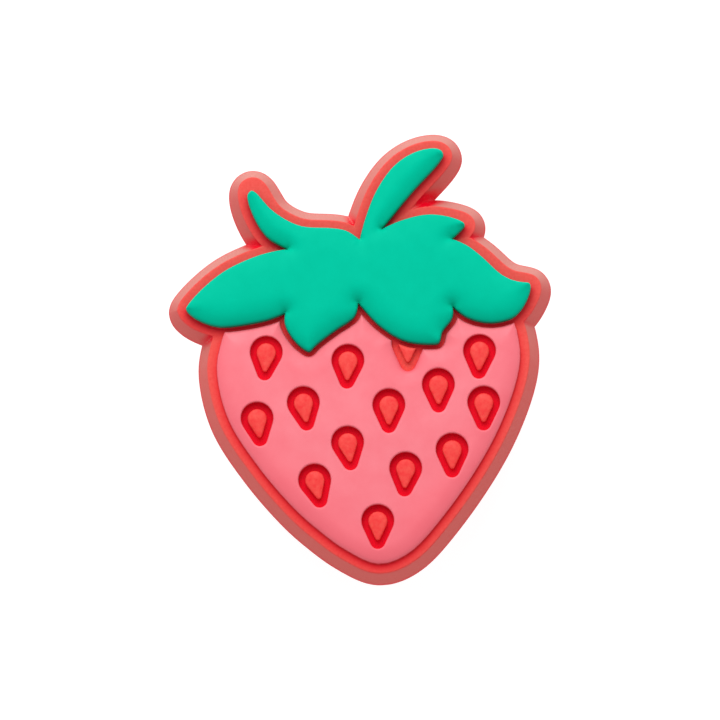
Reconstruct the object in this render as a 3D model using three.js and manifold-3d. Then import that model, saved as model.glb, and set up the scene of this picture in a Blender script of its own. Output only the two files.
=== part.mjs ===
// Strawberry shoe charm: layers of soft PVC moulded on one another, with a stud on the back.
// Millimetres. The charm lies on its stud with its face up: +Z towards the face, +Y towards the stem and +X
// to the right as the face is read. The origin is the centre of the stud's flat foot.

import * as THREE from 'three';
import { mergeVertices } from 'three/addons/utils/BufferGeometryUtils.js';
import Module from 'manifold-3d';

const wasm = await Module();
wasm.setup();

// ---- Driving dimensions ----

const DISC_RADIUS = 6.0;
const DISC_THICKNESS = 1.6;
const NECK_RADIUS = 3.6;
const NECK_LENGTH = 5.0;
const STUD_EDGE = 0.3;

const PLATE_THICKNESS = 2.3;
const RIM_WIDTH = 0.58;
const WALL_DRAFT = 0.66;

const FACE_RISE = 0.6;
const FACE_SHOULDER = 0.2;
const CROWN_RISE = 1.2;
const CROWN_SHOULDER = 0.35;
const CROWN_SPREAD = 0.02;
const MOAT_WIDTH = 0.3;

const WINDOW_ROUND = 1.02;
const WINDOW_POINT = 0.47;
const TEARDROP_SPAN = 1.3;
const PIP_ROUND = 0.6;
const PIP_POINT = 0.16;
const PIP_SPAN = 1.04;
const PIP_LIFT = 0.045;
const PIP_RISE = 0.5;
const PIP_SHOULDER = 0.12;

const PLATE_BACK = DISC_THICKNESS + NECK_LENGTH;
const RIM_FACE = PLATE_BACK + PLATE_THICKNESS;

// The leaf crown and its stem, clockwise. Each lobe is one smooth line from notch to notch.
const CURLED_LEAF = [
  [-4.8, 6.65], [-6.15, 7.45], [-7.05, 8.9], [-7.35, 10.05], [-7.1, 10.3], [-6.85, 10.2], [-5.8, 9.05],
  [-4.1, 8.1], [-2.1, 7.95], [-1.2, 7.8], [-0.35, 7.25],
];
const OTHER_LOBES = [
  // the stem
  [[-0.35, 7.25], [0, 8.55], [0.75, 10.4], [1.9, 11.95], [3.2, 12.75], [4.35, 12.95], [4.75, 12.8],
    [4.85, 12.55], [4.5, 12.0], [2.95, 10.3], [0.95, 7.85]],
  // the small leaf right of the stem
  [[0.95, 7.85], [2.25, 8.43], [4.0, 8.81], [5.6, 8.55], [6.13, 8.28], [6.18, 8.13], [5.78, 7.68],
    [5.37, 7.28]],
  // the right leaf
  [[5.37, 7.28], [6.25, 6.92], [7.2, 6.21], [8.45, 5.05], [9.1, 4.71], [9.7, 4.56], [10.2, 4.51],
    [10.3, 4.31], [10.1, 3.56], [9.7, 2.86], [9.15, 2.36], [7.85, 2.06], [6.55, 2.3], [5.94, 2.65],
    [5.43, 3.1]],
  // the blunt leaf low on the right
  [[5.43, 3.1], [5.48, 2.66], [5.34, 2.22], [5.0, 1.82], [4.76, 1.47], [4.67, 0.98], [4.52, 0.78],
    [4.22, 0.73], [2.46, 0.93], [0.87, 1.89], [-0.45, 3.31]],
  // the pointed leaf low on the left
  [[-0.45, 3.31], [-0.5, 2.87], [-0.75, 2.37], [-1.86, 1.62], [-3.15, 0.62], [-3.4, 0.32], [-3.55, 0.27],
    [-4.26, 0.77], [-5.01, 1.93], [-5.0, 2.68]],
  // the left leaf
  [[-5.0, 2.68], [-6.0, 2.28], [-8.4, 1.84], [-9.35, 1.85], [-10.76, 2.45], [-11.17, 2.91],
    [-11.12, 3.07], [-10.23, 4.09], [-8.73, 5.3], [-6.82, 6.19], [-5.8, 6.48], [-4.8, 6.65]],
];

// The plate runs on past the tips of three leaves, so there it follows these lines instead of the leaves'.
const CURLED_LEAF_BACKING = [
  [-4.8, 6.65], [-6.15, 7.45], [-7.05, 8.9], [-7.4, 10.15], [-7.32, 10.58], [-7.03, 10.7], [-6.72, 10.5],
  [-5.8, 9.05], [-4.1, 8.1], [-2.1, 7.95], [-1.2, 7.8], [-0.35, 7.25],
];

const SMALL_LEAF_BACKING = [
  [0.95, 7.85], [2.25, 8.45], [4.0, 8.84], [5.6, 8.62], [6.18, 8.42], [6.32, 8.22], [5.88, 7.66], [5.37, 7.28],
];
const RIGHT_LEAF_BACKING = [
  [5.37, 7.28], [6.25, 6.95], [7.25, 6.28], [8.5, 5.14], [9.14, 4.8], [9.72, 4.7], [10.12, 4.64],
  [10.36, 4.48], [10.4, 4.2], [10.15, 3.56], [9.7, 2.86], [9.15, 2.36], [7.85, 2.06], [6.55, 2.3], [5.94, 2.65],
  [5.43, 3.1],
];

// The fruit, clockwise from its left shoulder, which runs under the crown.
const FRUIT_LINE = [
  [-6.0, 4.2], [0, 5.0], [6.0, 4.6], [8.92, 2.7], [9.6, 0.8], [9.54, -1.02], [8.05, -5.08], [5.0, -9.82],
  [2.6, -12.38], [0.8, -12.98], [-1.27, -12.09], [-2.9, -10.91], [-4.32, -9.65], [-6.66, -6.94],
  [-8.57, -3.93], [-9.28, -0.9], [-9.08, 0.6], [-8.3, 2.4],
];

// Centre of each teardrop, and the lean of its point: degrees from straight down, positive to the right.
const TEARDROPS = [
  [-6.21, -0.13, -4.5], [-1.11, -0.65, -2.5], [2.65, 0.47, 0], [7.1, -0.04, -2], [-3.81, -3.28, 9],
  [1.46, -3.43, 0], [4.55, -2.15, 0.5], [7.37, -3.27, -0.5], [-6.7, -4.25, 8], [-1.06, -5.76, 8],
  [2.49, -7.39, -3], [5.4, -6.21, 0], [-3.07, -8.11, 14], [0.77, -10.66, 0],
];

// ---- Finishes ----

const redPvc = new THREE.MeshStandardMaterial({ color: 0xe8524e, roughness: 0.6, metalness: 0 });
const pinkPvc = new THREE.MeshStandardMaterial({ color: 0xfa8591, roughness: 0.55, metalness: 0 });
const pipPvc = new THREE.MeshStandardMaterial({ color: 0xf84645, roughness: 0.5, metalness: 0 });
const greenPvc = new THREE.MeshStandardMaterial({ color: 0x00cba7, roughness: 0.5, metalness: 0 });

// ---- Outlines ----

const FINE_STEPS = 240;
const LONGEST_STEP = 0.55;
const WIDEST_TURN = THREE.MathUtils.degToRad(13);
const SAME = 1e-6;
const LONGEST_LOOP = 45;

// Stations along one clockwise smooth line, closer where it bends. Each has its place and outward normal.
function stationsAlong(points, closed = false) {
  const corners = points.map(([x, y]) => new THREE.Vector3(x, y, 0));
  const curve = new THREE.CatmullRomCurve3(corners, closed, 'centripetal');
  const steps = closed ? FINE_STEPS * 2 : FINE_STEPS;
  curve.arcLengthDivisions = steps * 2;
  const stations = [];
  for (let i = 0; i <= steps; i++) {
    const place = curve.getPointAt(i / steps);
    const along = curve.getTangentAt(i / steps);
    const normal = new THREE.Vector2(-along.y, along.x).normalize();
    const station = { place: new THREE.Vector2(place.x, place.y), normal };
    const last = stations[stations.length - 1];
    const due = !last || last.place.distanceTo(station.place) > LONGEST_STEP
      || Math.abs(turn(last.normal, normal)) > WIDEST_TURN;
    if (due || (i === steps && !closed)) {
      stations.push(station);
    }
  }
  return stations;
}

function turn(from, to) {
  return Math.atan2(from.cross(to), from.dot(to));
}

// Where two lobes meet in a notch, the normal swings round in steps so that an offset line gets a full arc.
function stationsRound(lobes) {
  const runs = lobes.map((points) => stationsAlong(points));
  const stations = [];
  runs.forEach((run, i) => {
    const next = runs[(i + 1) % runs.length];
    stations.push(...run);
    const end = run[run.length - 1];
    const swing = turn(end.normal, next[0].normal);
    const steps = Math.floor(Math.abs(swing) / WIDEST_TURN);
    for (let s = 1; s <= steps; s++) {
      const normal = end.normal.clone().rotateAround(new THREE.Vector2(), (swing * s) / (steps + 1));
      stations.push({ place: end.place, normal });
    }
  });
  return stations;
}

// Where the stretch from a to b crosses the stretch from c to d, or null.
function crossing([a, b], [c, d]) {
  const first = b.clone().sub(a);
  const second = d.clone().sub(c);
  const gap = c.clone().sub(a);
  const cross = first.cross(second);
  const alongFirst = gap.cross(second) / cross;
  const alongSecond = gap.cross(first) / cross;
  const meets = [alongFirst, alongSecond].every((share) => share >= 0 && share <= 1);
  return meets ? a.clone().addScaledVector(first, alongFirst) : null;
}

// The line offset outwards, or inwards where distance is below zero, with one point for each station.
// Where the offset line loops across itself, the loop's points gather in the sharp corner that it leaves.
function offsetLine(stations, distance) {
  const count = stations.length;
  const points = stations.map(({ place, normal }) => place.clone().addScaledVector(normal, distance));
  const stretch = (i) => [points[i % count], points[(i + 1) % count]];
  for (let i = 0; distance !== 0 && i < count; i++) {
    let j = i + LONGEST_LOOP;
    while (j > i + 1 && !crossing(stretch(i), stretch(j))) {
      j--;
    }
    const corner = crossing(stretch(i), stretch(j));
    for (let k = i + 1; corner && j > i + 1 && k <= j; k++) {
      points[k % count] = corner;
    }
  }
  return points;
}

// Teardrop with its round end up: two arcs joined by straight flanks, clockwise, turned by its lean.
// Its span is the distance between the arcs' centres, and its lift is how far it sits above its place.
function teardrop([x, y, lean], roundRadius, pointRadius, span = TEARDROP_SPAN, lift = 0) {
  const tilt = Math.asin((roundRadius - pointRadius) / span);
  const length = span + roundRadius + pointRadius;
  const roundCentre = lift + length / 2 - roundRadius;
  const shape = new THREE.Shape();
  shape.absarc(0, roundCentre, roundRadius, Math.PI + tilt, -tilt, true);
  shape.absarc(0, roundCentre - span, pointRadius, -tilt, -Math.PI + tilt, true);
  const turned = THREE.MathUtils.degToRad(lean);
  const origin = new THREE.Vector2();
  const centre = new THREE.Vector2(x, y);
  return shape.getPoints(8).map((point) => point.rotateAround(origin, turned).add(centre));
}

// ---- Solids ----

// Closed solid through level rows of points, from the lowest up. All rows run clockwise, point for point.
function layered(rows) {
  const positions = [];
  const same = (a, b) => a.distanceTo(b) < SAME;
  const put = (a, b, c) => {
    if (!same(a, b) && !same(b, c) && !same(c, a)) {
      positions.push(...a.toArray(), ...b.toArray(), ...c.toArray());
    }
  };
  const lift = ({ line, z }) => line.map((point) => new THREE.Vector3(point.x, point.y, z));
  const cap = (row, up) => {
    const line = row.filter((point, i) => !same(point, row[(i + 1) % row.length]));
    const clockwise = line.map((point) => new THREE.Vector2(point.x, point.y)).reverse();
    const faces = THREE.ShapeUtils.triangulateShape(clockwise, []);
    const corner = (i) => line[line.length - 1 - i];
    faces.forEach(([a, b, c]) => {
      const facesUp = clockwise[b].clone().sub(clockwise[a]).cross(clockwise[c].clone().sub(clockwise[a])) > 0;
      put(corner(a), corner(facesUp === up ? b : c), corner(facesUp === up ? c : b));
    });
  };
  const levels = rows.map(lift);
  levels.slice(1).forEach((upper, level) => {
    const lower = levels[level];
    lower.forEach((point, i) => {
      const next = (i + 1) % lower.length;
      put(point, upper[i], upper[next]);
      put(point, upper[next], lower[next]);
    });
  });
  cap(levels[0], false);
  cap(levels[levels.length - 1], true);
  const geometry = new THREE.BufferGeometry();
  geometry.setAttribute('position', new THREE.Float32BufferAttribute(positions, 3));
  return mergeVertices(geometry, 1e-5);
}

function toSolid(geometry) {
  return new wasm.Manifold(new wasm.Mesh({
    numProp: 3,
    vertProperties: new Float32Array(geometry.getAttribute('position').array),
    triVerts: new Uint32Array(geometry.getIndex().array),
  }));
}

function toGeometry(solid) {
  const { vertProperties, triVerts } = solid.getMesh();
  const geometry = new THREE.BufferGeometry();
  geometry.setAttribute('position', new THREE.BufferAttribute(vertProperties, 3));
  geometry.setIndex(new THREE.BufferAttribute(triVerts, 1));
  return geometry;
}

function straightCut(line) {
  return toSolid(layered([{ line, z: PLATE_BACK }, { line, z: RIM_FACE + 2 * CROWN_RISE }]));
}

// ---- The charm's pieces ----

const crownLine = stationsRound([CURLED_LEAF, ...OTHER_LOBES]);
const [STEM, , , ...LOW_LOBES] = OTHER_LOBES;
const crownBackingLine = stationsRound([
  CURLED_LEAF_BACKING, STEM, SMALL_LEAF_BACKING, RIGHT_LEAF_BACKING, ...LOW_LOBES,
]);
const fruitLine = stationsAlong(FRUIT_LINE, true);

// The plate follows crown and fruit at the rim's width, and its wall spreads towards the back.
function backingPlate() {
  const drafted = (stations) => toSolid(layered([
    { line: offsetLine(stations, RIM_WIDTH + WALL_DRAFT), z: PLATE_BACK },
    { line: offsetLine(stations, RIM_WIDTH), z: RIM_FACE },
  ]));
  return toGeometry(drafted(crownBackingLine).add(drafted(fruitLine)));
}

// The fruit's face stops at the moat round the crown and has a window for each pip.
function fruitFace() {
  const top = RIM_FACE + FACE_RISE;
  let face = toSolid(layered([
    { line: offsetLine(fruitLine, 0), z: RIM_FACE },
    { line: offsetLine(fruitLine, 0), z: top - FACE_SHOULDER },
    { line: offsetLine(fruitLine, -FACE_SHOULDER), z: top },
  ]));
  face = face.subtract(straightCut(offsetLine(crownLine, MOAT_WIDTH)));
  TEARDROPS.forEach((place) => {
    face = face.subtract(straightCut(teardrop(place, WINDOW_ROUND, WINDOW_POINT)));
  });
  return toGeometry(face);
}

function leafCrown() {
  const top = RIM_FACE + CROWN_RISE;
  return layered([
    { line: offsetLine(crownLine, CROWN_SPREAD), z: RIM_FACE },
    { line: offsetLine(crownLine, CROWN_SPREAD), z: top - 1.5 * CROWN_SHOULDER },
    { line: offsetLine(crownLine, -CROWN_SHOULDER / 3), z: top - CROWN_SHOULDER / 2 },
    { line: offsetLine(crownLine, -CROWN_SHOULDER), z: top },
  ]);
}

// A pip stands in its window, and stops at the moat where the crown covers part of it.
function pip(place) {
  const outline = (inset) => teardrop(place, PIP_ROUND - inset, PIP_POINT - inset, PIP_SPAN, PIP_LIFT);
  const top = RIM_FACE + PIP_RISE;
  const whole = toSolid(layered([
    { line: outline(0), z: RIM_FACE },
    { line: outline(0), z: top - PIP_SHOULDER },
    { line: outline(PIP_SHOULDER), z: top },
  ]));
  return toGeometry(whole.subtract(straightCut(offsetLine(crownLine, MOAT_WIDTH))));
}

function stud() {
  const profile = [
    [0, 0], [DISC_RADIUS - STUD_EDGE, 0], [DISC_RADIUS, STUD_EDGE],
    [DISC_RADIUS, DISC_THICKNESS - STUD_EDGE], [DISC_RADIUS - STUD_EDGE, DISC_THICKNESS],
    [NECK_RADIUS, DISC_THICKNESS], [NECK_RADIUS, PLATE_BACK], [0, PLATE_BACK],
  ];
  const geometry = new THREE.LatheGeometry(profile.map(([r, z]) => new THREE.Vector2(r, z)), 40);
  geometry.rotateX(Math.PI / 2);
  return geometry;
}

function piece(name, geometry, finish) {
  const mesh = new THREE.Mesh(geometry, finish);
  mesh.name = name;
  return mesh;
}

const charm = new THREE.Group();
charm.add(piece('stud', stud(), redPvc));
charm.add(piece('backing_plate', backingPlate(), redPvc));
charm.add(piece('fruit_face', fruitFace(), pinkPvc));
charm.add(piece('leaf_crown', leafCrown(), greenPvc));
TEARDROPS.forEach((place, i) => {
  const number = String(i + 1).padStart(2, '0');
  charm.add(piece(`seed_${number}`, pip(place), pipPvc));
});

export default charm;
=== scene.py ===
import math

import bmesh
import bpy
import numpy as np
from bpy.props import FloatProperty, FloatVectorProperty, IntProperty, PointerProperty
from bpy.types import Operator, Panel, PropertyGroup
from mathutils import Matrix, Vector, geometry, kdtree, noise


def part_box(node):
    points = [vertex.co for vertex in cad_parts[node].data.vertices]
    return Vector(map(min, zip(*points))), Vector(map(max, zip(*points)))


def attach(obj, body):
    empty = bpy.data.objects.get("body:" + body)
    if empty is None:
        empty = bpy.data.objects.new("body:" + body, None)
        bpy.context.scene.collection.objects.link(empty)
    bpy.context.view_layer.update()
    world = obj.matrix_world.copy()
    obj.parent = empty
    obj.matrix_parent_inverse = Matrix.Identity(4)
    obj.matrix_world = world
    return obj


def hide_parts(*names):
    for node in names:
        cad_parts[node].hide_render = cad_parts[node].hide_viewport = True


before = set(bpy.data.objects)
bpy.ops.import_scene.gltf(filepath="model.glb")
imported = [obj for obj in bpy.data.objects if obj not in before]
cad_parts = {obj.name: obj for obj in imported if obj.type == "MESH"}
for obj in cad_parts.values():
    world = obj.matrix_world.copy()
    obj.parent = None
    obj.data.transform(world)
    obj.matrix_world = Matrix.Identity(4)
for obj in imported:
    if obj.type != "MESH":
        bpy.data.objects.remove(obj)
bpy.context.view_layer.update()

bl_info = {
    "name": "Strawberry charm",
    "version": (1, 0, 0),
    "blender": (4, 5, 0),
    "location": "3D View > Sidebar > Charm",
    "description": "Builds the visible surfaces of a soft PVC strawberry charm round its packed frame",
    "category": "Object",
}

RIM_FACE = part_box("backing_plate")[1].z
PLATE_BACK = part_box("backing_plate")[0].z
FACE_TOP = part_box("fruit_face")[1].z
CROWN_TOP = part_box("leaf_crown")[1].z
PIP_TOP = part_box("seed_01")[1].z
PIP_NODES = sorted(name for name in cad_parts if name.startswith("seed_"))

MM = 0.001
WELD = 5e-7
SHORTEST_EDGE = 2e-5
SHARP_TURN = math.radians(28)
SHARP_CREASE = math.radians(50)
FAN_STEP = math.radians(15)
BATCH = 400
PROBE = 0.02 * MM


# ---- Settings ----


class CharmPlateSettings(PropertyGroup):
    rim_radius: FloatProperty(
        name="Rim edge", description="Radius of the edge round the rim's flat face",
        default=0.00009, unit="LENGTH")
    back_radius: FloatProperty(
        name="Back edge", description="Radius of the edge where the side wall meets the back",
        default=0.00012, unit="LENGTH")
    colour: FloatVectorProperty(
        name="Colour", description="Coral red of the backing", subtype="COLOR",
        default=(0.90, 0.104, 0.088))
    shade: FloatVectorProperty(
        name="Deep colour", description="Red of the backing where it is mottled darker", subtype="COLOR",
        default=(0.84, 0.078, 0.066))
    # Painted shade: the crimson laid in the grooves, in the notches, at the foot of the pink and green
    # layers and along the back edge, standing in for shadow and red light bounced in the hollows.
    recess: FloatVectorProperty(
        name="Recess colour", description="Crimson in the grooves and at the foot of the raised layers",
        subtype="COLOR", default=(0.81, 0.0, 0.018))
    # Partly a matte finish of the moulding and partly painted light: the duller, paler red stands in for
    # the walls' shade and the pale grazing reflection of the white surroundings.
    side: FloatVectorProperty(
        name="Side colour", description="Paler, frosted red of the side wall and the back",
        subtype="COLOR", default=(0.69, 0.112, 0.098))
    # Painted reflection: a whitened red standing in for the light's sheen on the walls that face it.
    frost: FloatVectorProperty(
        name="Frost colour", description="Whitened red of the walls that face the top of the fruit",
        subtype="COLOR", default=(0.66, 0.235, 0.20))


class CharmFaceSettings(PropertyGroup):
    edge_radius: FloatProperty(
        name="Edge", description="Radius of the pink face's outer edge", default=0.00018, unit="LENGTH")
    lip_radius: FloatProperty(
        name="Window lip", description="Radius of the lip round each window", default=0.00008,
        unit="LENGTH")
    dome: FloatProperty(
        name="Dome", description="How far the face falls from its middle to its edge", default=0.00026,
        unit="LENGTH")
    colour: FloatVectorProperty(
        name="Colour", description="Pink of the fruit", subtype="COLOR", default=(0.95, 0.222, 0.268))
    shade: FloatVectorProperty(
        name="Deep colour", description="Pink where it is mottled darker", subtype="COLOR",
        default=(0.92, 0.180, 0.224))
    # Painted shade: the pink darkens towards the edge and towards the tip, where the face turns from the
    # light and the light falls off.
    side: FloatVectorProperty(
        name="Edge colour", description="Pink towards the edge and the tip of the fruit", subtype="COLOR",
        default=(0.92, 0.105, 0.145))
    # Painted shade: deep red low on the walls of the face and its windows, where the grooves are in
    # shade.
    recess: FloatVectorProperty(
        name="Wall colour", description="Deep red low on the face's walls", subtype="COLOR",
        default=(0.66, 0.005, 0.03))


class CharmCrownSettings(PropertyGroup):
    slope_width: FloatProperty(
        name="Slope width", description="How far in from its edge the crown slopes", default=0.0016,
        unit="LENGTH")
    slope_rise: FloatProperty(
        name="Slope rise", description="Height that the slope climbs", default=0.00052, unit="LENGTH")
    edge_radius: FloatProperty(
        name="Edge", description="Radius of the crown's edge", default=0.00014, unit="LENGTH")
    # The darkening over this height is painted shade; the height also places a ring of the walls.
    foot: FloatProperty(
        name="Foot", description="Height over which the walls darken towards the backing",
        default=0.00035, unit="LENGTH")
    crease_depth: FloatProperty(
        name="Crease depth", description="Depth of the creases that run in from the notches",
        default=0.00011, unit="LENGTH")
    crease_length: FloatProperty(
        name="Crease length", description="Length of those creases", default=0.0016, unit="LENGTH")
    colour: FloatVectorProperty(
        name="Colour", description="Green of the leaves", subtype="COLOR", default=(0.0, 0.55, 0.35))
    shade: FloatVectorProperty(
        name="Deep colour", description="Green where it is mottled darker", subtype="COLOR",
        default=(0.0, 0.505, 0.315))
    # Painted shade: deeper green along the leaves' low edges, which slope away from the light.
    side: FloatVectorProperty(
        name="Edge colour", description="Green along the low edges of the leaves", subtype="COLOR",
        default=(0.0, 0.38, 0.225))
    # Painted shade: dark olive at the foot of the crown's walls, standing in for the shadow where the
    # walls meet the backing and red light bounced onto them.
    recess: FloatVectorProperty(
        name="Foot colour", description="Dark olive at the foot of the crown's walls", subtype="COLOR",
        default=(0.035, 0.05, 0.014))


class CharmPipSettings(PropertyGroup):
    edge_width: FloatProperty(
        name="Edge width", description="How far in from its edge a pip is rounded", default=0.00012,
        unit="LENGTH")
    edge_fall: FloatProperty(
        name="Edge fall", description="How far the rounded edge falls", default=0.00007, unit="LENGTH")
    bulge: FloatProperty(
        name="Bulge", description="How far a pip's middle stands above its sides", default=0.00007,
        unit="LENGTH")
    colour: FloatVectorProperty(
        name="Colour", description="Bright red of the pips", subtype="COLOR",
        default=(0.94, 0.084, 0.068))
    shade: FloatVectorProperty(
        name="Deep colour", description="Red where the pips are mottled darker", subtype="COLOR",
        default=(0.88, 0.026, 0.032))
    # Painted shade: crimson low on the pips' walls, where the grooves are in shade.
    recess: FloatVectorProperty(
        name="Foot colour", description="Crimson low on the pips' walls", subtype="COLOR",
        default=(0.81, 0.0, 0.018))


class CharmStudSettings(PropertyGroup):
    fillet: FloatProperty(
        name="Fillet", description="Radius of the disc's edges and of the foot of the neck",
        default=0.0004, unit="LENGTH")
    disc_top: FloatProperty(
        name="Disc top", description="Height of the disc's inner face", default=0.0016, unit="LENGTH")
    steps: IntProperty(name="Steps", description="Steps round the stud", default=96)


class CharmStageSettings(PropertyGroup):
    lens: FloatProperty(name="Lens", description="Focal length in millimetres", default=600.0)
    view_width: FloatProperty(
        name="View width", description="Width that the camera sees at the rim's face", default=0.0449,
        unit="LENGTH")
    tip_up: FloatProperty(
        name="Tip", description="How far the camera leans towards the fruit's tip",
        default=math.radians(4.9), subtype="ANGLE")
    tip_right: FloatProperty(
        name="Side lean", description="How far the camera leans to the right", default=math.radians(0.7),
        subtype="ANGLE")
    target: FloatVectorProperty(
        name="Target", description="Place on the rim's face that the camera looks at", size=2,
        default=(-0.000343, -0.000213), unit="LENGTH")
    floor: FloatVectorProperty(
        name="Floor", description="Colour of the floor", subtype="COLOR", default=(0.30, 0.30, 0.30))
    floor_glow: FloatProperty(
        name="Floor glow", description="White light that the floor gives off", default=0.88)
    fill: FloatProperty(name="Fill", description="Strength of the light from all round", default=0.53)
    key_place: FloatVectorProperty(
        name="Key place", description="Place of the round softbox", subtype="TRANSLATION",
        default=(-0.022, 0.12, 0.165))
    key_size: FloatProperty(
        name="Key size", description="Width of the softbox", default=0.18, unit="LENGTH")
    key_power: FloatProperty(name="Key power", description="Power of the softbox", default=0.315)


# ---- Outlines taken from the frame ----


def sections(node, height):
    """Closed outlines, as arrays of places in order, where a level plane cuts a node of the frame."""
    bm = bmesh.new()
    bm.from_mesh(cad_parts[node].data)
    bmesh.ops.remove_doubles(bm, verts=bm.verts, dist=WELD)
    everything = bm.verts[:] + bm.edges[:] + bm.faces[:]
    bmesh.ops.bisect_plane(
        bm, geom=everything, dist=WELD, plane_co=(0, 0, height), plane_no=(0, 0, 1),
        clear_inner=True, clear_outer=True)
    loops = []
    unused = set(bm.verts)
    while unused:
        start = min(unused, key=lambda vert: vert.co.xy[:])
        unused.remove(start)
        loop = [start]
        step = start.link_edges[0].other_vert(start)
        while step is not start:
            loop.append(step)
            unused.discard(step)
            ways = [edge.other_vert(step) for edge in step.link_edges]
            step = next(way for way in ways if way is not loop[-2])
        loops.append(np.array([vert.co.xy for vert in loop]))
    bm.free()
    loops.sort(key=lambda loop: -abs(signed_area(loop)))
    return [tidy_loop(directed(loop, loop is loops[0])) for loop in loops]


def signed_area(loop):
    """Area inside an outline, positive where the outline runs anticlockwise."""
    x, y = loop.T
    return 0.5 * np.sum(x * np.roll(y, -1) - np.roll(x, -1) * y)


def directed(loop, anticlockwise):
    """The outline run the given way round from its leftmost point."""
    if (signed_area(loop) > 0) != anticlockwise:
        loop = loop[::-1]
    return np.roll(loop, -np.argmin(loop[:, 0]), axis=0)


def tidy_loop(loop):
    """Drops points that nearly coincide with the one before."""
    kept = [loop[0]]
    for place in loop[1:]:
        if np.linalg.norm(place - kept[-1]) > SHORTEST_EDGE:
            kept.append(place)
    if np.linalg.norm(kept[0] - kept[-1]) < SHORTEST_EDGE:
        kept.pop()
    return np.array(kept)


def turns(loop):
    """How far an outline turns at each of its points, positive to the left."""
    before = loop - np.roll(loop, 1, axis=0)
    after = np.roll(loop, -1, axis=0) - loop
    cross = before[:, 0] * after[:, 1] - before[:, 1] * after[:, 0]
    return np.arctan2(cross, np.sum(before * after, axis=1))


def smooth_loop(loop, step, evening):
    """The outline with points about a step apart, evened out between its corners, and the corners."""
    sharp = np.abs(turns(loop)) > SHARP_TURN
    count = len(loop)
    points, fixed = [], []
    for i in range(count):
        a, b = loop[i], loop[(i + 1) % count]
        span = np.linalg.norm(b - a)
        leave = b - a if sharp[i] else b - loop[i - 1]
        arrive = b - a if sharp[(i + 1) % count] else loop[(i + 2) % count] - a
        leave = leave / np.linalg.norm(leave) * span
        arrive = arrive / np.linalg.norm(arrive) * span
        pieces = max(1, round(span / step))
        for t in np.arange(pieces) / pieces:
            fixed.append(sharp[i] and t == 0)
            points.append(
                (2 * t**3 - 3 * t**2 + 1) * a + (t**3 - 2 * t**2 + t) * leave
                + (3 * t**2 - 2 * t**3) * b + (t**3 - t**2) * arrive)
    points = np.array(points)
    free = ~np.array(fixed)
    for _ in range(round(2 * (evening / step) ** 2)):
        middle = (np.roll(points, 1, axis=0) + np.roll(points, -1, axis=0)) / 2
        points[free] = (points[free] + middle[free]) / 2
    return points, points[~free]


def stretches(loops):
    """Starts and ends of all the straight stretches of the outlines."""
    starts = np.vstack(loops)
    ends = np.vstack([np.roll(loop, -1, axis=0) for loop in loops])
    return starts, ends


def halved(loop):
    """The outline with each of its stretches cut in two."""
    middles = (loop + np.roll(loop, -1, axis=0)) / 2
    return np.stack([loop, middles], axis=1).reshape(-1, 2)


def batches(points):
    """The points in parts small enough to compare with every stretch of the outlines at once."""
    return np.array_split(points, max(1, len(points) // BATCH))


def clearance(points, loops):
    """Distance from each point to the nearest of the outlines."""
    starts, ends = stretches(loops)
    sides = ends - starts
    lengths = np.sum(sides**2, axis=1)
    nearest = []
    for batch in batches(points):
        reach = batch[:, None] - starts[None]
        share = np.clip(np.sum(reach * sides, axis=2) / lengths, 0, 1)
        nearest.append(np.linalg.norm(reach - share[..., None] * sides, axis=2).min(axis=1))
    return np.concatenate(nearest)


def soft_clearance(points, loops, near):
    """Distance to the outlines that blends all of them, so that it has no ridges between them."""
    starts, ends = stretches([halved(loop) for loop in loops])
    middles = (starts + ends) / 2
    lengths = np.linalg.norm(ends - starts, axis=1)
    soft = []
    for batch in batches(points):
        reach = np.linalg.norm(batch[:, None] - middles[None], axis=2)
        pull = np.sum(lengths / np.maximum(reach, near / 8) ** 5, axis=1) * 0.75
        soft.append(pull**-0.25)
    hard = clearance(points, loops)
    blend = np.clip((hard - near) / near, 0, 1)
    return hard * (1 - blend) + np.concatenate(soft) * blend


def within(points, loops):
    """Whether each point lies inside the outer outline and outside the holes."""
    starts, ends = stretches(loops)
    inside = []
    for batch in batches(points):
        x, y = batch[:, 0:1], batch[:, 1:2]
        straddles = (starts[:, 1] > y) != (ends[:, 1] > y)
        rise = ends[:, 1] - starts[:, 1]
        rise = np.where(np.abs(rise) < 1e-12, 1e-12, rise)
        crossing = starts[:, 0] + (y - starts[:, 1]) * (ends[:, 0] - starts[:, 0]) / rise
        inside.append(np.sum(straddles & (x < crossing), axis=1) % 2 == 1)
    return np.concatenate(inside)


def outward(loop):
    """Mitred directions out of an outline at each of its points."""
    ahead = np.roll(loop, -1, axis=0) - loop
    ahead = np.stack([ahead[:, 1], -ahead[:, 0]], axis=1) / np.linalg.norm(ahead, axis=1)[:, None]
    behind = np.roll(ahead, 1, axis=0)
    return (ahead + behind) / (1 + np.sum(ahead * behind, axis=1))[:, None]


def rows_beside(loop, corners, depths):
    """Rows of points at the given depths inside an outline (outside it for those below zero)."""
    angles = np.arange(0, 2 * math.pi, FAN_STEP)
    circle = np.stack([np.cos(angles), np.sin(angles)], axis=1)
    rows = []
    for depth in depths:
        fans = [corner + circle * depth for corner in corners]
        places = np.vstack([loop - outward(loop) * depth, *fans])
        places = places[clearance(places, [loop]) > 0.98 * abs(depth)]
        rows.append(places[within(places, [loop]) == (depth * signed_area(loop) > 0)])
    return rows


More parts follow.
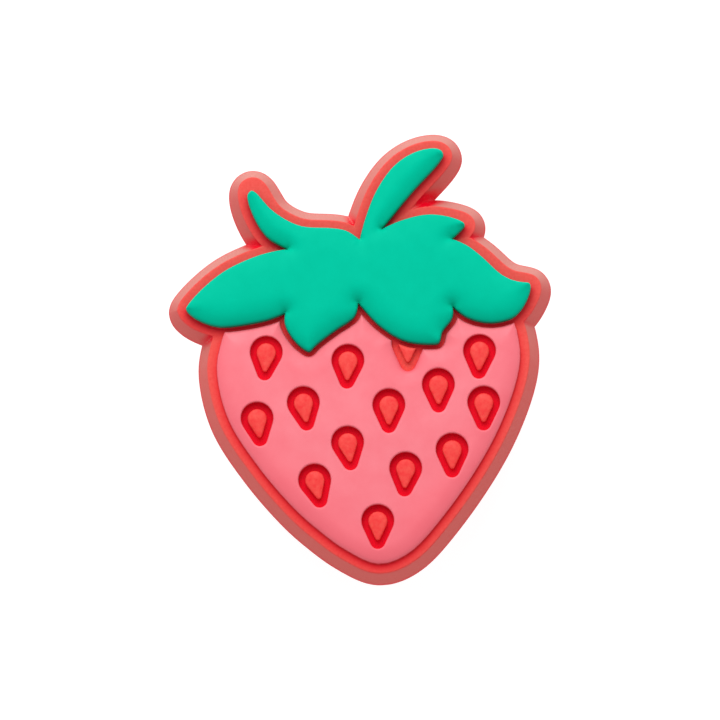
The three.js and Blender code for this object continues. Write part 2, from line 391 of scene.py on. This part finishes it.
def skin(loops, rows, grid_step, margin, seams):
    """Triangles that fill the outlines, with the given rows and seams and an even grid between."""
    low, high = loops[0].min(axis=0), loops[0].max(axis=0)
    grid = []
    for row, y in enumerate(np.arange(low[1], high[1], grid_step * math.sqrt(0.75))):
        x = np.arange(low[0] + (row % 2) * grid_step / 2, high[0], grid_step)
        grid.append(np.stack([x, np.full_like(x, y)], axis=1))
    grid = np.vstack(grid)
    grid = grid[clearance(grid, loops) > margin]
    if rows:
        placed = np.vstack(rows)
        tree = kdtree.KDTree(len(placed))
        for i, (x, y) in enumerate(placed):
            tree.insert((x, y, 0), i)
        tree.balance()
        grid = grid[[tree.find((x, y, 0))[2] > grid_step / 2 for x, y in grid]]
    inner = np.vstack([*rows, grid])
    inner = inner[within(inner, loops) & (clearance(inner, loops) > SHORTEST_EDGE)]
    lines = [(loop, True) for loop in loops] + list(seams)
    edges = []
    first = 0
    for line, closed in lines:
        count = len(line)
        stretch_count = count if closed else count - 1
        edges += [(first + i, first + (i + 1) % count) for i in range(stretch_count)]
        first += count
    places = np.vstack([*[line for line, _ in lines], inner])
    corners = [Vector(place / MM) for place in places]
    filled = geometry.delaunay_2d_cdt(corners, edges, [], 0, 1e-5, False)
    places = np.array([vert[:] for vert in filled[0]]) * MM
    faces = np.array(filled[2])
    return places, faces[within(places[faces].mean(axis=1), loops)]


def moulded(name, loops, rows, height, course, grid_step, margin=0.05 * MM, seams=()):
    """A closed piece: a shaped skin, then walls from its edge down a course to a flat foot.

    The course gives an outward shift and a height for each ring of the walls.
    """
    places, faces = skin(loops, rows, grid_step, margin, seams)
    heights = height(places)
    bm = bmesh.new()
    verts = [bm.verts.new((x, y, z)) for (x, y), z in zip(places, heights)]
    for face in faces:
        bm.faces.new([verts[i] for i in face])
    ring = dict(zip(verts, np.vstack([outward(loop) for loop in loops])))
    bmesh.ops.delete(bm, geom=[vert for vert in verts if not vert.link_faces], context="VERTS")
    edges = [edge for edge in bm.edges if edge.is_boundary]
    before = 0
    for shift, level in course:
        made = bmesh.ops.extrude_edge_only(bm, edges=edges)["geom"]
        edges = [item for item in made if isinstance(item, bmesh.types.BMEdge) and item.is_boundary]
        lower = {}
        for vert in [item for item in made if isinstance(item, bmesh.types.BMVert)]:
            neighbours = [edge.other_vert(vert) for edge in vert.link_edges]
            source = next(other for other in neighbours if other in ring)
            lower[vert] = ring[source]
            vert.co.xy += Vector(ring[source]) * (shift - before)
            vert.co.z = level
        ring = lower
        before = shift
    bmesh.ops.triangle_fill(bm, edges=edges, use_beauty=True)
    bmesh.ops.recalc_face_normals(bm, faces=bm.faces)
    return finished(name, bm)


def finished(name, bm):
    """Turns a mesh under construction into a smooth-shaded object with sharp creases."""
    for face in bm.faces:
        face.smooth = True
    for edge in bm.edges:
        edge.smooth = len(edge.link_faces) != 2 or edge.calc_face_angle(0) < SHARP_CREASE
    mesh = bpy.data.meshes.new(name)
    bm.to_mesh(mesh)
    bm.free()
    piece = bpy.data.objects.new(name, mesh)
    bpy.context.scene.collection.objects.link(piece)
    return piece


def prepared(node, width, shares, step, evening):
    """Smooth outlines low on a node of the frame, and rows of points at shares of a width inside."""
    low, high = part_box(node)
    loops, rows = [], []
    for outline in sections(node, low.z + 0.2 * (high.z - low.z)):
        loop, corners = smooth_loop(outline, step, evening)
        loops.append(loop)
        rows += rows_beside(loop, corners, [share * width for share in shares])
    depths = [share * width for share in shares] * len(loops)
    rows = [row[clearance(row, loops) > 0.9 * depth] for row, depth in zip(rows, depths)]
    return loops, rows


def place_piece(piece, material, slot, *nodes):
    piece.data.materials.append(material)
    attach(piece, "root")
    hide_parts(*nodes)


def rounded(depth, width):
    """Rise of a quarter-round, from 0 at the edge to 1 where it runs out."""
    share = np.clip(depth / width, 0, 1)
    return np.sqrt(1 - (1 - share) ** 2)


def vectors(piece, kind):
    """The place ("co") or the normal ("normal") of each of a piece's vertices."""
    flat = np.empty(3 * len(piece.data.vertices))
    piece.data.vertices.foreach_get(kind, flat)
    return flat.reshape(-1, 3)


def paint(piece, name, values):
    """Stores a mask that the piece's material reads."""
    mask = piece.data.attributes.new(name, "FLOAT", "POINT")
    mask.data.foreach_set("value", np.clip(values, 0, 1).astype(np.float32))


def shelter(places, loops, reach):
    """How far each place lies at the foot of a raised layer, for painted shade: most where the stem is
    behind the layer, on the side the light comes from.
    """
    near = clearance(places, loops)
    uphill = np.clip((near - clearance(places + (0, PROBE), loops)) / PROBE, -1, 1)
    strength = 0.1 + 0.9 * ((1 + uphill) / 2) ** 1.1
    return strength * np.clip(1 - near / (reach * (0.6 + 0.4 * uphill)), 0, 1)


def notches(places, rim):
    """How far each place outside the rim lies in a notch between two walls."""
    ahead, closing, closed = 0.75 * MM, 0.85, 0.3
    near = clearance(places, [rim])
    gains = [clearance(places + shift, [rim]) - near for shift in ((PROBE, 0), (0, PROBE))]
    away = np.stack(gains, axis=1) / PROBE
    openness = clearance(places + away * ahead, [rim]) / (near + ahead)
    depth = np.clip((closing - openness) / (closing - closed), 0, 1)
    return np.where(within(places, [rim]), 0, depth)


def swell(places, wavelength, seed):
    """Soft unevenness between -1 and 1."""
    return np.array([noise.noise((x / wavelength, y / wavelength, seed)) for x, y in places])


# ---- Finishes ----


# Tints: Side is a duller wall red on the backing (part finish, part painted light) and painted shade on
# the face and crown; the next is a painted reflection; the last is painted shade.
TINTS = ("Side", "Frost", "Recess")


def grain_group():
    """Moulded PVC: a mottled colour, an uneven gloss, and the height of a fine grain.

    Each tint is laid over the mottled colour as far as its own mask says; the tints carry painted shade
    and a painted reflection.
    """
    name = "PVC grain"
    if name in bpy.data.node_groups:
        return bpy.data.node_groups[name]
    group = bpy.data.node_groups.new(name, "ShaderNodeTree")

    def add_socket(label, side, value):
        kind = "NodeSocketFloat" if isinstance(value, float) else "NodeSocketColor"
        group.interface.new_socket(label, in_out=side, socket_type=kind).default_value = value

    for label, value in (
            ("Colour", (0.8, 0.8, 0.8, 1)), ("Deep colour", (0.7, 0.7, 0.7, 1)),
            ("Mottle", 0.5), ("Mottle size", 0.0003),
            ("Roughness", 0.5), ("Roughness spread", 0.12), ("Grain size", 0.00008)):
        add_socket(label, "INPUT", value)
    for tint in TINTS:
        add_socket(f"{tint} colour", "INPUT", (0.1, 0.1, 0.1, 1))
        add_socket(tint, "INPUT", 0.0)
    for label, value in (("Colour", (0.8, 0.8, 0.8, 1)), ("Roughness", 0.5), ("Height", 0.0)):
        add_socket(label, "OUTPUT", value)
    nodes, links = group.nodes, group.links
    given = nodes.new("NodeGroupInput")
    result = nodes.new("NodeGroupOutput")
    places = nodes.new("ShaderNodeTexCoord").outputs["Object"]

    def pattern(size, detail, roughness):
        scale = nodes.new("ShaderNodeMath")
        scale.operation = "DIVIDE"
        scale.inputs[0].default_value = 1.0
        links.new(given.outputs[size], scale.inputs[1])
        texture = nodes.new("ShaderNodeTexNoise")
        texture.inputs["Detail"].default_value = detail
        texture.inputs["Roughness"].default_value = roughness
        links.new(places, texture.inputs["Vector"])
        links.new(scale.outputs[0], texture.inputs["Scale"])
        return texture.outputs["Fac"]

    def spread(value, low, high):
        node = nodes.new("ShaderNodeMapRange")
        node.inputs["From Min"].default_value = low
        node.inputs["From Max"].default_value = high
        links.new(value, node.inputs["Value"])
        return node.outputs["Result"]

    def maths(operation, first, second):
        node = nodes.new("ShaderNodeMath")
        node.operation = operation
        for socket, value in zip(node.inputs, (first, second)):
            if isinstance(value, float):
                socket.default_value = value
            else:
                links.new(value, socket)
        return node.outputs[0]

    def blend(factor, first, second):
        node = nodes.new("ShaderNodeMix")
        node.data_type = "RGBA"
        links.new(factor, node.inputs["Factor"])
        links.new(first, node.inputs["A"])
        links.new(second, node.inputs["B"])
        return node.outputs["Result"]

    mottle = spread(pattern("Mottle size", detail=3.0, roughness=0.6), low=0.3, high=0.7)
    grain = pattern("Grain size", detail=2.0, roughness=0.5)
    patches = maths("MULTIPLY", mottle, given.outputs["Mottle"])
    colour = blend(patches, given.outputs["Colour"], given.outputs["Deep colour"])
    for tint in TINTS:
        colour = blend(given.outputs[tint], colour, given.outputs[f"{tint} colour"])
    links.new(colour, result.inputs["Colour"])
    uneven = maths("MULTIPLY", maths("SUBTRACT", mottle, 0.5), given.outputs["Roughness spread"])
    links.new(maths("ADD", uneven, given.outputs["Roughness"]), result.inputs["Roughness"])
    links.new(maths("ADD", maths("MULTIPLY", mottle, 0.5), grain), result.inputs["Height"])
    return group


def pvc(name, colour, shade, roughness, grain_size, bump, mottle_size, mottle, specular, **tints):
    """A PVC material; each tint named goes where the piece's mask of that name is painted."""
    material = bpy.data.materials.new(name)
    material.use_nodes = True
    nodes, links = material.node_tree.nodes, material.node_tree.links
    shader = nodes["Principled BSDF"]
    grain = nodes.new("ShaderNodeGroup")
    grain.node_tree = grain_group()
    grain.inputs["Colour"].default_value = (*colour, 1)
    grain.inputs["Deep colour"].default_value = (*shade, 1)
    grain.inputs["Mottle"].default_value = mottle
    grain.inputs["Mottle size"].default_value = mottle_size
    grain.inputs["Roughness"].default_value = roughness
    grain.inputs["Grain size"].default_value = grain_size
    for tint, value in tints.items():
        mask = nodes.new("ShaderNodeAttribute")
        mask.attribute_name = tint
        links.new(mask.outputs["Fac"], grain.inputs[tint.capitalize()])
        grain.inputs[f"{tint.capitalize()} colour"].default_value = (*value, 1)
    relief = nodes.new("ShaderNodeBump")
    relief.inputs["Strength"].default_value = 1.0
    relief.inputs["Distance"].default_value = bump
    links.new(grain.outputs["Height"], relief.inputs["Height"])
    links.new(relief.outputs["Normal"], shader.inputs["Normal"])
    links.new(grain.outputs["Colour"], shader.inputs["Base Color"])
    links.new(grain.outputs["Roughness"], shader.inputs["Roughness"])
    shader.inputs["Specular IOR Level"].default_value = specular
    return material


# ---- Pieces ----


class CHARM_OT_backing_plate(Operator):
    """Red backing: a flat rim with a crisp edge, and a side wall that spreads towards the back"""
    bl_idname = "charm.backing_plate"
    bl_label = "Backing plate"

    def execute(self, context):
        settings = context.scene.charm_plate
        front, back = settings.rim_radius, settings.back_radius
        rim_outline = sections("backing_plate", RIM_FACE - 2e-6)[0]
        rim, corners = smooth_loop(rim_outline, step=0.12 * MM, evening=0.25 * MM)
        lean = math.atan2(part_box("backing_plate")[1].x - rim[:, 0].max(), RIM_FACE - PLATE_BACK)
        foot = PLATE_BACK + back * (1 + math.sin(lean))
        edge_outline = sections("backing_plate", foot)[0]
        edge, edge_corners = smooth_loop(edge_outline, step=0.12 * MM, evening=0.3 * MM)
        spread = (RIM_FACE - foot) * math.tan(lean)
        reach = front * math.tan(math.pi / 4 - lean / 2)

        def height(places):
            to_rim = clearance(places, [rim])
            to_edge = clearance(places, [edge])
            beyond = to_rim / (to_rim + to_edge + 1e-12) * spread
            across = np.where(within(places, [rim]), -to_rim, beyond)
            along = np.clip(across + reach, 0, front)
            arc = RIM_FACE - front + np.sqrt(np.maximum(front**2 - along**2, 0))
            return np.where(across > reach * math.sin(lean), RIM_FACE - across / math.tan(lean), arc)

        depths = [2 * reach, reach, 0.6 * reach, 0.25 * reach, -reach * math.sin(lean)]
        depths += [-share * spread for share in (0.12, 0.25, 0.4, 0.55, 0.7, 0.82, 0.92)]
        seams = [(rim, True)]
        for corner in corners:
            end = edge_corners[np.linalg.norm(edge_corners - corner, axis=1).argmin()]
            if np.linalg.norm(end - corner) < 4 * spread:
                shares = np.linspace(0, 1, 9)[1:-1, None]
                seams.append((corner + (end - corner) * shares, False))
        course = []
        for angle in np.linspace(lean, -math.pi / 2, 7)[1:]:
            shift = back * (math.cos(angle) - math.cos(lean))
            course.append((shift, PLATE_BACK + back * (1 + math.sin(angle))))
        rows = rows_beside(rim, corners, depths)
        face = sections("fruit_face", (RIM_FACE + FACE_TOP) / 2)
        crown = sections("leaf_crown", (RIM_FACE + FACE_TOP) / 2)
        for outline in (*face, *crown):
            line, bends = smooth_loop(outline, step=0.15 * MM, evening=0.08 * MM)
            offsets = [-offset * MM for offset in (0.01, 0.08, 0.17, 0.28, 0.42)]
            for row in rows_beside(line, bends, offsets):
                rows.append(row[within(row, [rim]) & (clearance(row, [rim]) > 2.5 * reach)])
        piece = moulded(
            "backing_plate_moulding", [edge], rows, height, course, grid_step=0.4 * MM, seams=seams)
        material = pvc(
            "backing_pvc", settings.colour, settings.shade, roughness=0.62, grain_size=0.00009,
            bump=0.00001, mottle_size=0.00016, mottle=0.9, specular=0.1,
            recess=settings.recess, side=settings.side, frost=settings.frost)
        places = vectors(piece, "co")
        flat, level = places[:, :2], places[:, 2]
        # Painted shade mask: full in and round the windows' grooves, strong at the foot of the layers on
        # the side away from the light, in the wall's notches, and part-way along the back edge.
        windows = clearance(flat, face[1:]) < 0.35 * MM
        for hole in face[1:]:
            windows |= within(flat, [hole])
        painted_foot_shade = np.maximum(
            shelter(flat, face, reach=0.75 * MM), shelter(flat, crown, reach=0.9 * MM))
        painted_foot_shade = np.where(level > RIM_FACE - 0.1 * MM, painted_foot_shade, 0)
        painted_foot_shade = np.where(windows, 1, painted_foot_shade)
        painted_back_shade = 0.55 * np.clip(1 - (level - foot) / (0.4 * MM), 0, 1)
        paint(piece, "recess", np.maximum(painted_foot_shade, np.maximum(notches(flat, rim), painted_back_shade)))
        # Duller, paler red on the side wall and the back: partly a matte finish, partly painted shade and
        # painted reflection.
        side = np.clip((RIM_FACE - 0.02 * MM - level) / (0.06 * MM), 0, 1)
        paint(piece, "side", side)
        # Painted reflection: the walls facing the top of the fruit, towards the light, are whitened.
        paint(piece, "frost", side * (vectors(piece, "normal")[:, 1] + 0.1) / 0.95)
        place_piece(piece, material, "backing_pvc", "backing_plate")
        return {"FINISHED"}


class CHARM_OT_fruit_face(Operator):
    """Pink fruit face: a soft pillow with a rounded edge and a soft lip round each window"""
    bl_idname = "charm.fruit_face"
    bl_label = "Fruit face"

    def execute(self, context):
        settings = context.scene.charm_face
        edge, lip, dome = settings.edge_radius, settings.lip_radius, settings.dome
        shares = (0.05, 0.18, 0.4, 0.7, 1.1, 1.7, 2.6)
        loops, rows = prepared("fruit_face", edge, shares, step=0.1 * MM, evening=0.08 * MM)
        crown = sections("leaf_crown", (RIM_FACE + FACE_TOP) / 2)

        def height(places):
            outer = clearance(places, loops[:1])
            windows = clearance(places, loops[1:])
            beside_moat = np.clip((1.0 * MM - clearance(places, crown)) / (0.3 * MM), 0, 1)
            radius = edge + (lip - edge) * beside_moat
            edge_fall = radius * (1 - rounded(outer, radius * 1.3))
            lip_fall = lip * (1 - rounded(windows, lip * 1.2))
            dome_fall = dome * np.clip(1 - outer / (1.1 * MM), 0, 1) ** 2
            unevenness = 0.05 * MM * swell(places, wavelength=3.2 * MM, seed=3.0)
            return FACE_TOP - np.maximum(edge_fall, lip_fall) - dome_fall + unevenness

        piece = moulded(
            "fruit_face_moulding", loops, rows, height, [(0, RIM_FACE)], grid_step=0.22 * MM)
        material = pvc(
            "pink_pvc", settings.colour, settings.shade, roughness=0.5, grain_size=0.00006,
            bump=0.000003, mottle_size=0.0014, mottle=0.8, specular=0.45,
            recess=settings.recess, side=settings.side)
        places = vectors(piece, "co")
        # Painted shade: darker pink towards the outer edge and towards the tip, away from the light.
        painted_edge_shade = 0.4 * np.clip(1 - clearance(places[:, :2], loops[:1]) / (3.2 * MM), 0, 1) ** 1.2
        paint(piece, "side", painted_edge_shade + 0.25 * np.clip((2 * MM - places[:, 1]) / (14 * MM), 0, 1))
        # Painted shade low on the face's walls, deepest at their foot.
        paint(piece, "recess", (FACE_TOP - 0.32 * MM - places[:, 2]) / (0.15 * MM))
        place_piece(piece, material, "pink_pvc", "fruit_face")
        return {"FINISHED"}


class CHARM_OT_leaf_crown(Operator):
    """Green crown and stem: puffed leaves with rounded edges, creased where they meet"""
    bl_idname = "charm.leaf_crown"
    bl_label = "Leaf crown"

    def execute(self, context):
        settings = context.scene.charm_crown
        width, edge, foot = settings.slope_width, settings.edge_radius, settings.foot
        shares = (0.01, 0.04, 0.08, 0.13, 0.2, 0.32, 0.46, 0.62, 0.8, 1.0)
        loops, rows = prepared("leaf_crown", width, shares, step=0.1 * MM, evening=0.12 * MM)

        bends = turns(loops[0])
        notched = np.flatnonzero(bends < -SHARP_TURN)
        starts, ways = loops[0][notched], -outward(loops[0])[notched]
        ways /= np.linalg.norm(ways, axis=1)[:, None]

        def inset(places):
            return soft_clearance(places, loops, near=0.1 * MM)

        def climb(places):
            """From 1 where the nearest edge faces the fruit's tip to -1 where it faces the stem."""
            depths = []
            for shift in (0.05 * MM, -0.05 * MM):
                moved = places + (0, shift)
                depths.append(inset(moved) * np.where(within(moved, loops), 1, -1))
            return np.clip((depths[0] - depths[1]) / (0.1 * MM), -1, 1)

        def height(places):
            lean = 0.65 + 0.35 * climb(places)
            slope = settings.slope_rise * lean * (1 - np.clip(inset(places) / width, 0, 1)) ** 2
            edge_fall = edge * (1 - rounded(clearance(places, loops), edge))
            crease = np.zeros(len(places))
            for start, way in zip(starts, ways):
                along = (places - start) @ way / settings.crease_length
                beside = (places - start) @ (-way[1], way[0]) / settings.crease_length
                spread = 0.12 + 0.3 * np.clip(along, 0, 1)
                fade = np.where(along > -0.1, np.clip(1 - along, 0, 1) ** 2, 0)
                crease += np.exp(-((beside / spread) ** 2)) * fade
            return CROWN_TOP - slope - edge_fall - settings.crease_depth * np.clip(crease, 0, 1)

        course = [(0, RIM_FACE + foot), (0, RIM_FACE)]
        piece = moulded(
            "leaf_crown_moulding", loops, rows, height, course, grid_step=0.18 * MM)
        material = pvc(
            "green_pvc", settings.colour, settings.shade, roughness=0.48, grain_size=0.00006,
            bump=0.0000025, mottle_size=0.0009, mottle=0.5, specular=0.02,
            recess=settings.recess, side=settings.side)
        places = vectors(piece, "co")
        near = clearance(places[:, :2], loops)
        # Painted shade: deeper green near the edges that face the fruit's tip, away from the light.
        low = 0.5 + 0.5 * climb(places[:, :2])
        paint(piece, "side", 0.7 * low**2 * np.clip(1 - near / (0.9 * MM), 0, 1) ** 1.5)
        # Painted shade: a dark line along the top of the low edges, and the walls darkening down to their
        # foot.
        painted_hem_shade = 0.7 * low * np.clip(1 - near / (0.04 * MM), 0, 1)
        above = places[:, 2] - RIM_FACE
        wall = 0.12 + 0.7 * (1 - above / foot)
        paint(piece, "recess", np.where(above > 1.1 * foot, painted_hem_shade, wall))
        place_piece(piece, material, "green_pvc", "leaf_crown")
        return {"FINISHED"}


class CHARM_OT_pips(Operator):
    """Bright red teardrop pips, one in the middle of each window"""
    bl_idname = "charm.pips"
    bl_label = "Pips"

    def execute(self, context):
        settings = context.scene.charm_pips
        material = pvc(
            "pip_pvc", settings.colour, settings.shade, roughness=0.5, grain_size=0.00005,
            bump=0.000006, mottle_size=0.0003, mottle=0.8, specular=0.2,
            recess=settings.recess)
        width = settings.edge_width
        shares = (0.05, 0.18, 0.4, 0.7, 1.0)

        for node in PIP_NODES:
            loops, rows = prepared(node, width, shares, step=0.06 * MM, evening=0.05 * MM)

            def height(places):
                near = clearance(places, loops)
                edge_fall = settings.edge_fall * (1 - rounded(near, width))
                bulge_fall = settings.bulge * (1 - np.clip(near / (0.5 * MM), 0, 1)) ** 2
                return PIP_TOP - edge_fall - bulge_fall

            piece = moulded(
                f"{node}_moulding", loops, rows, height, [(0, RIM_FACE)], grid_step=0.08 * MM,
                margin=0.04 * MM)
            # Painted shade, deepening down the pips' walls into the grooves.
            low = PIP_TOP - 0.11 * MM - vectors(piece, "co")[:, 2]
            paint(piece, "recess", low / (0.06 * MM))
            place_piece(piece, material, "pip_pvc", node)
        return {"FINISHED"}


class CHARM_OT_stud(Operator):
    """Stud on the back: a round neck and a retaining disc with soft edges"""
    bl_idname = "charm.stud"
    bl_label = "Stud"

    def execute(self, context):
        settings = context.scene.charm_stud
        low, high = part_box("stud")
        radius = high.x
        neck = sections("stud", (low.z + high.z) / 2)[0]
        neck_radius = np.linalg.norm(neck, axis=1).max()
        bm = bmesh.new()
        profile = [
            (0, low.z), (radius, low.z), (radius, settings.disc_top),
            (neck_radius, settings.disc_top), (neck_radius, high.z), (0, high.z)]
        verts = [bm.verts.new((x, 0, z)) for x, z in profile]
        edges = [bm.edges.new(pair) for pair in zip(verts, verts[1:])]
        bmesh.ops.bevel(
            bm, geom=verts[1:4], offset=settings.fillet, offset_type="OFFSET", segments=5,
            profile=0.5, affect="VERTICES", clamp_overlap=True, material=-1)
        bmesh.ops.spin(
            bm, geom=bm.verts[:] + bm.edges[:], cent=(0, 0, 0), axis=(0, 0, 1), angle=math.tau,
            steps=settings.steps, use_merge=True)
        bmesh.ops.remove_doubles(bm, verts=bm.verts, dist=WELD)
        bmesh.ops.recalc_face_normals(bm, faces=bm.faces)
        piece = finished("stud_moulding", bm)
        plate = context.scene.charm_plate
        material = pvc(
            "stud_pvc", plate.colour, plate.shade, roughness=0.6, grain_size=0.00007,
            bump=0.000005, mottle_size=0.0003, mottle=0.6, specular=0.4)
        place_piece(piece, material, "backing_pvc", "stud")
        return {"FINISHED"}


class CHARM_OT_stage(Operator):
    """Pale floor, soft studio light and the camera over the charm's face"""
    bl_idname = "charm.stage"
    bl_label = "Stage"

    def execute(self, context):
        settings = context.scene.charm_stage
        scene = context.scene
        scene.view_settings.view_transform = "Standard"
        bm = bmesh.new()
        bmesh.ops.create_grid(bm, x_segments=1, y_segments=1, size=0.4)
        mesh = bpy.data.meshes.new("floor")
        bm.to_mesh(mesh)
        bm.free()
        floor = bpy.data.objects.new("floor", mesh)
        scene.collection.objects.link(floor)
        material = bpy.data.materials.new("floor")
        material.use_nodes = True
        shader = material.node_tree.nodes["Principled BSDF"]
        shader.inputs["Base Color"].default_value = (*settings.floor, 1)
        shader.inputs["Roughness"].default_value = 0.9
        shader.inputs["Emission Color"].default_value = (1, 1, 1, 1)
        shader.inputs["Emission Strength"].default_value = settings.floor_glow
        mesh.materials.append(material)

        world = bpy.data.worlds.new("studio")
        world.use_nodes = True
        background = world.node_tree.nodes["Background"]
        background.inputs["Color"].default_value = (1, 1, 1, 1)
        background.inputs["Strength"].default_value = settings.fill
        scene.world = world

        softbox = bpy.data.lights.new("key", "AREA")
        softbox.shape = "DISK"
        softbox.size = settings.key_size
        softbox.energy = settings.key_power
        light = bpy.data.objects.new("key", softbox)
        light.location = settings.key_place
        light.rotation_euler = (-Vector(settings.key_place)).to_track_quat("-Z", "Y").to_euler()
        scene.collection.objects.link(light)

        sight = Vector((math.sin(settings.tip_right), -math.sin(settings.tip_up), 0))
        sight.z = math.sqrt(1 - sight.length_squared)
        target = Vector((*settings.target, RIM_FACE))
        data = bpy.data.cameras.new("camera")
        data.lens = settings.lens
        distance = settings.view_width * data.lens / data.sensor_width
        camera = bpy.data.objects.new("camera", data)
        camera.location = target + sight * distance
        right = Vector((0, 1, 0)).cross(sight).normalized()
        camera.rotation_euler = Matrix((right, sight.cross(right), sight)).transposed().to_euler()
        scene.collection.objects.link(camera)
        scene.camera = camera
        return {"FINISHED"}


class CHARM_PT_panel(Panel):
    """Lists the charm's pieces and their settings"""
    bl_label = "Strawberry charm"
    bl_idname = "CHARM_PT_panel"
    bl_space_type = "VIEW_3D"
    bl_region_type = "UI"
    bl_category = "Charm"

    def draw(self, context):
        for operator, settings in PIECES:
            box = self.layout.box()
            box.operator(operator.bl_idname)
            group = getattr(context.scene, settings)
            for name in group.__annotations__:
                box.prop(group, name)


SETTINGS = {
    "charm_plate": CharmPlateSettings,
    "charm_face": CharmFaceSettings,
    "charm_crown": CharmCrownSettings,
    "charm_pips": CharmPipSettings,
    "charm_stud": CharmStudSettings,
    "charm_stage": CharmStageSettings,
}
PIECES = (
    (CHARM_OT_backing_plate, "charm_plate"),
    (CHARM_OT_fruit_face, "charm_face"),
    (CHARM_OT_leaf_crown, "charm_crown"),
    (CHARM_OT_pips, "charm_pips"),
    (CHARM_OT_stud, "charm_stud"),
    (CHARM_OT_stage, "charm_stage"),
)


def register():
    for name, group in SETTINGS.items():
        bpy.utils.register_class(group)
        setattr(bpy.types.Scene, name, PointerProperty(type=group))
    for operator, _ in PIECES:
        bpy.utils.register_class(operator)
    bpy.utils.register_class(CHARM_PT_panel)


def unregister():
    bpy.utils.unregister_class(CHARM_PT_panel)
    for operator, _ in reversed(PIECES):
        bpy.utils.unregister_class(operator)
    for name, group in reversed(SETTINGS.items()):
        delattr(bpy.types.Scene, name)
        bpy.utils.unregister_class(group)


def main():
    register()
    bpy.ops.charm.backing_plate()
    bpy.ops.charm.fruit_face()
    bpy.ops.charm.leaf_crown()
    bpy.ops.charm.pips()
    bpy.ops.charm.stud()
    bpy.ops.charm.stage()


if __name__ == "__main__":
    main()
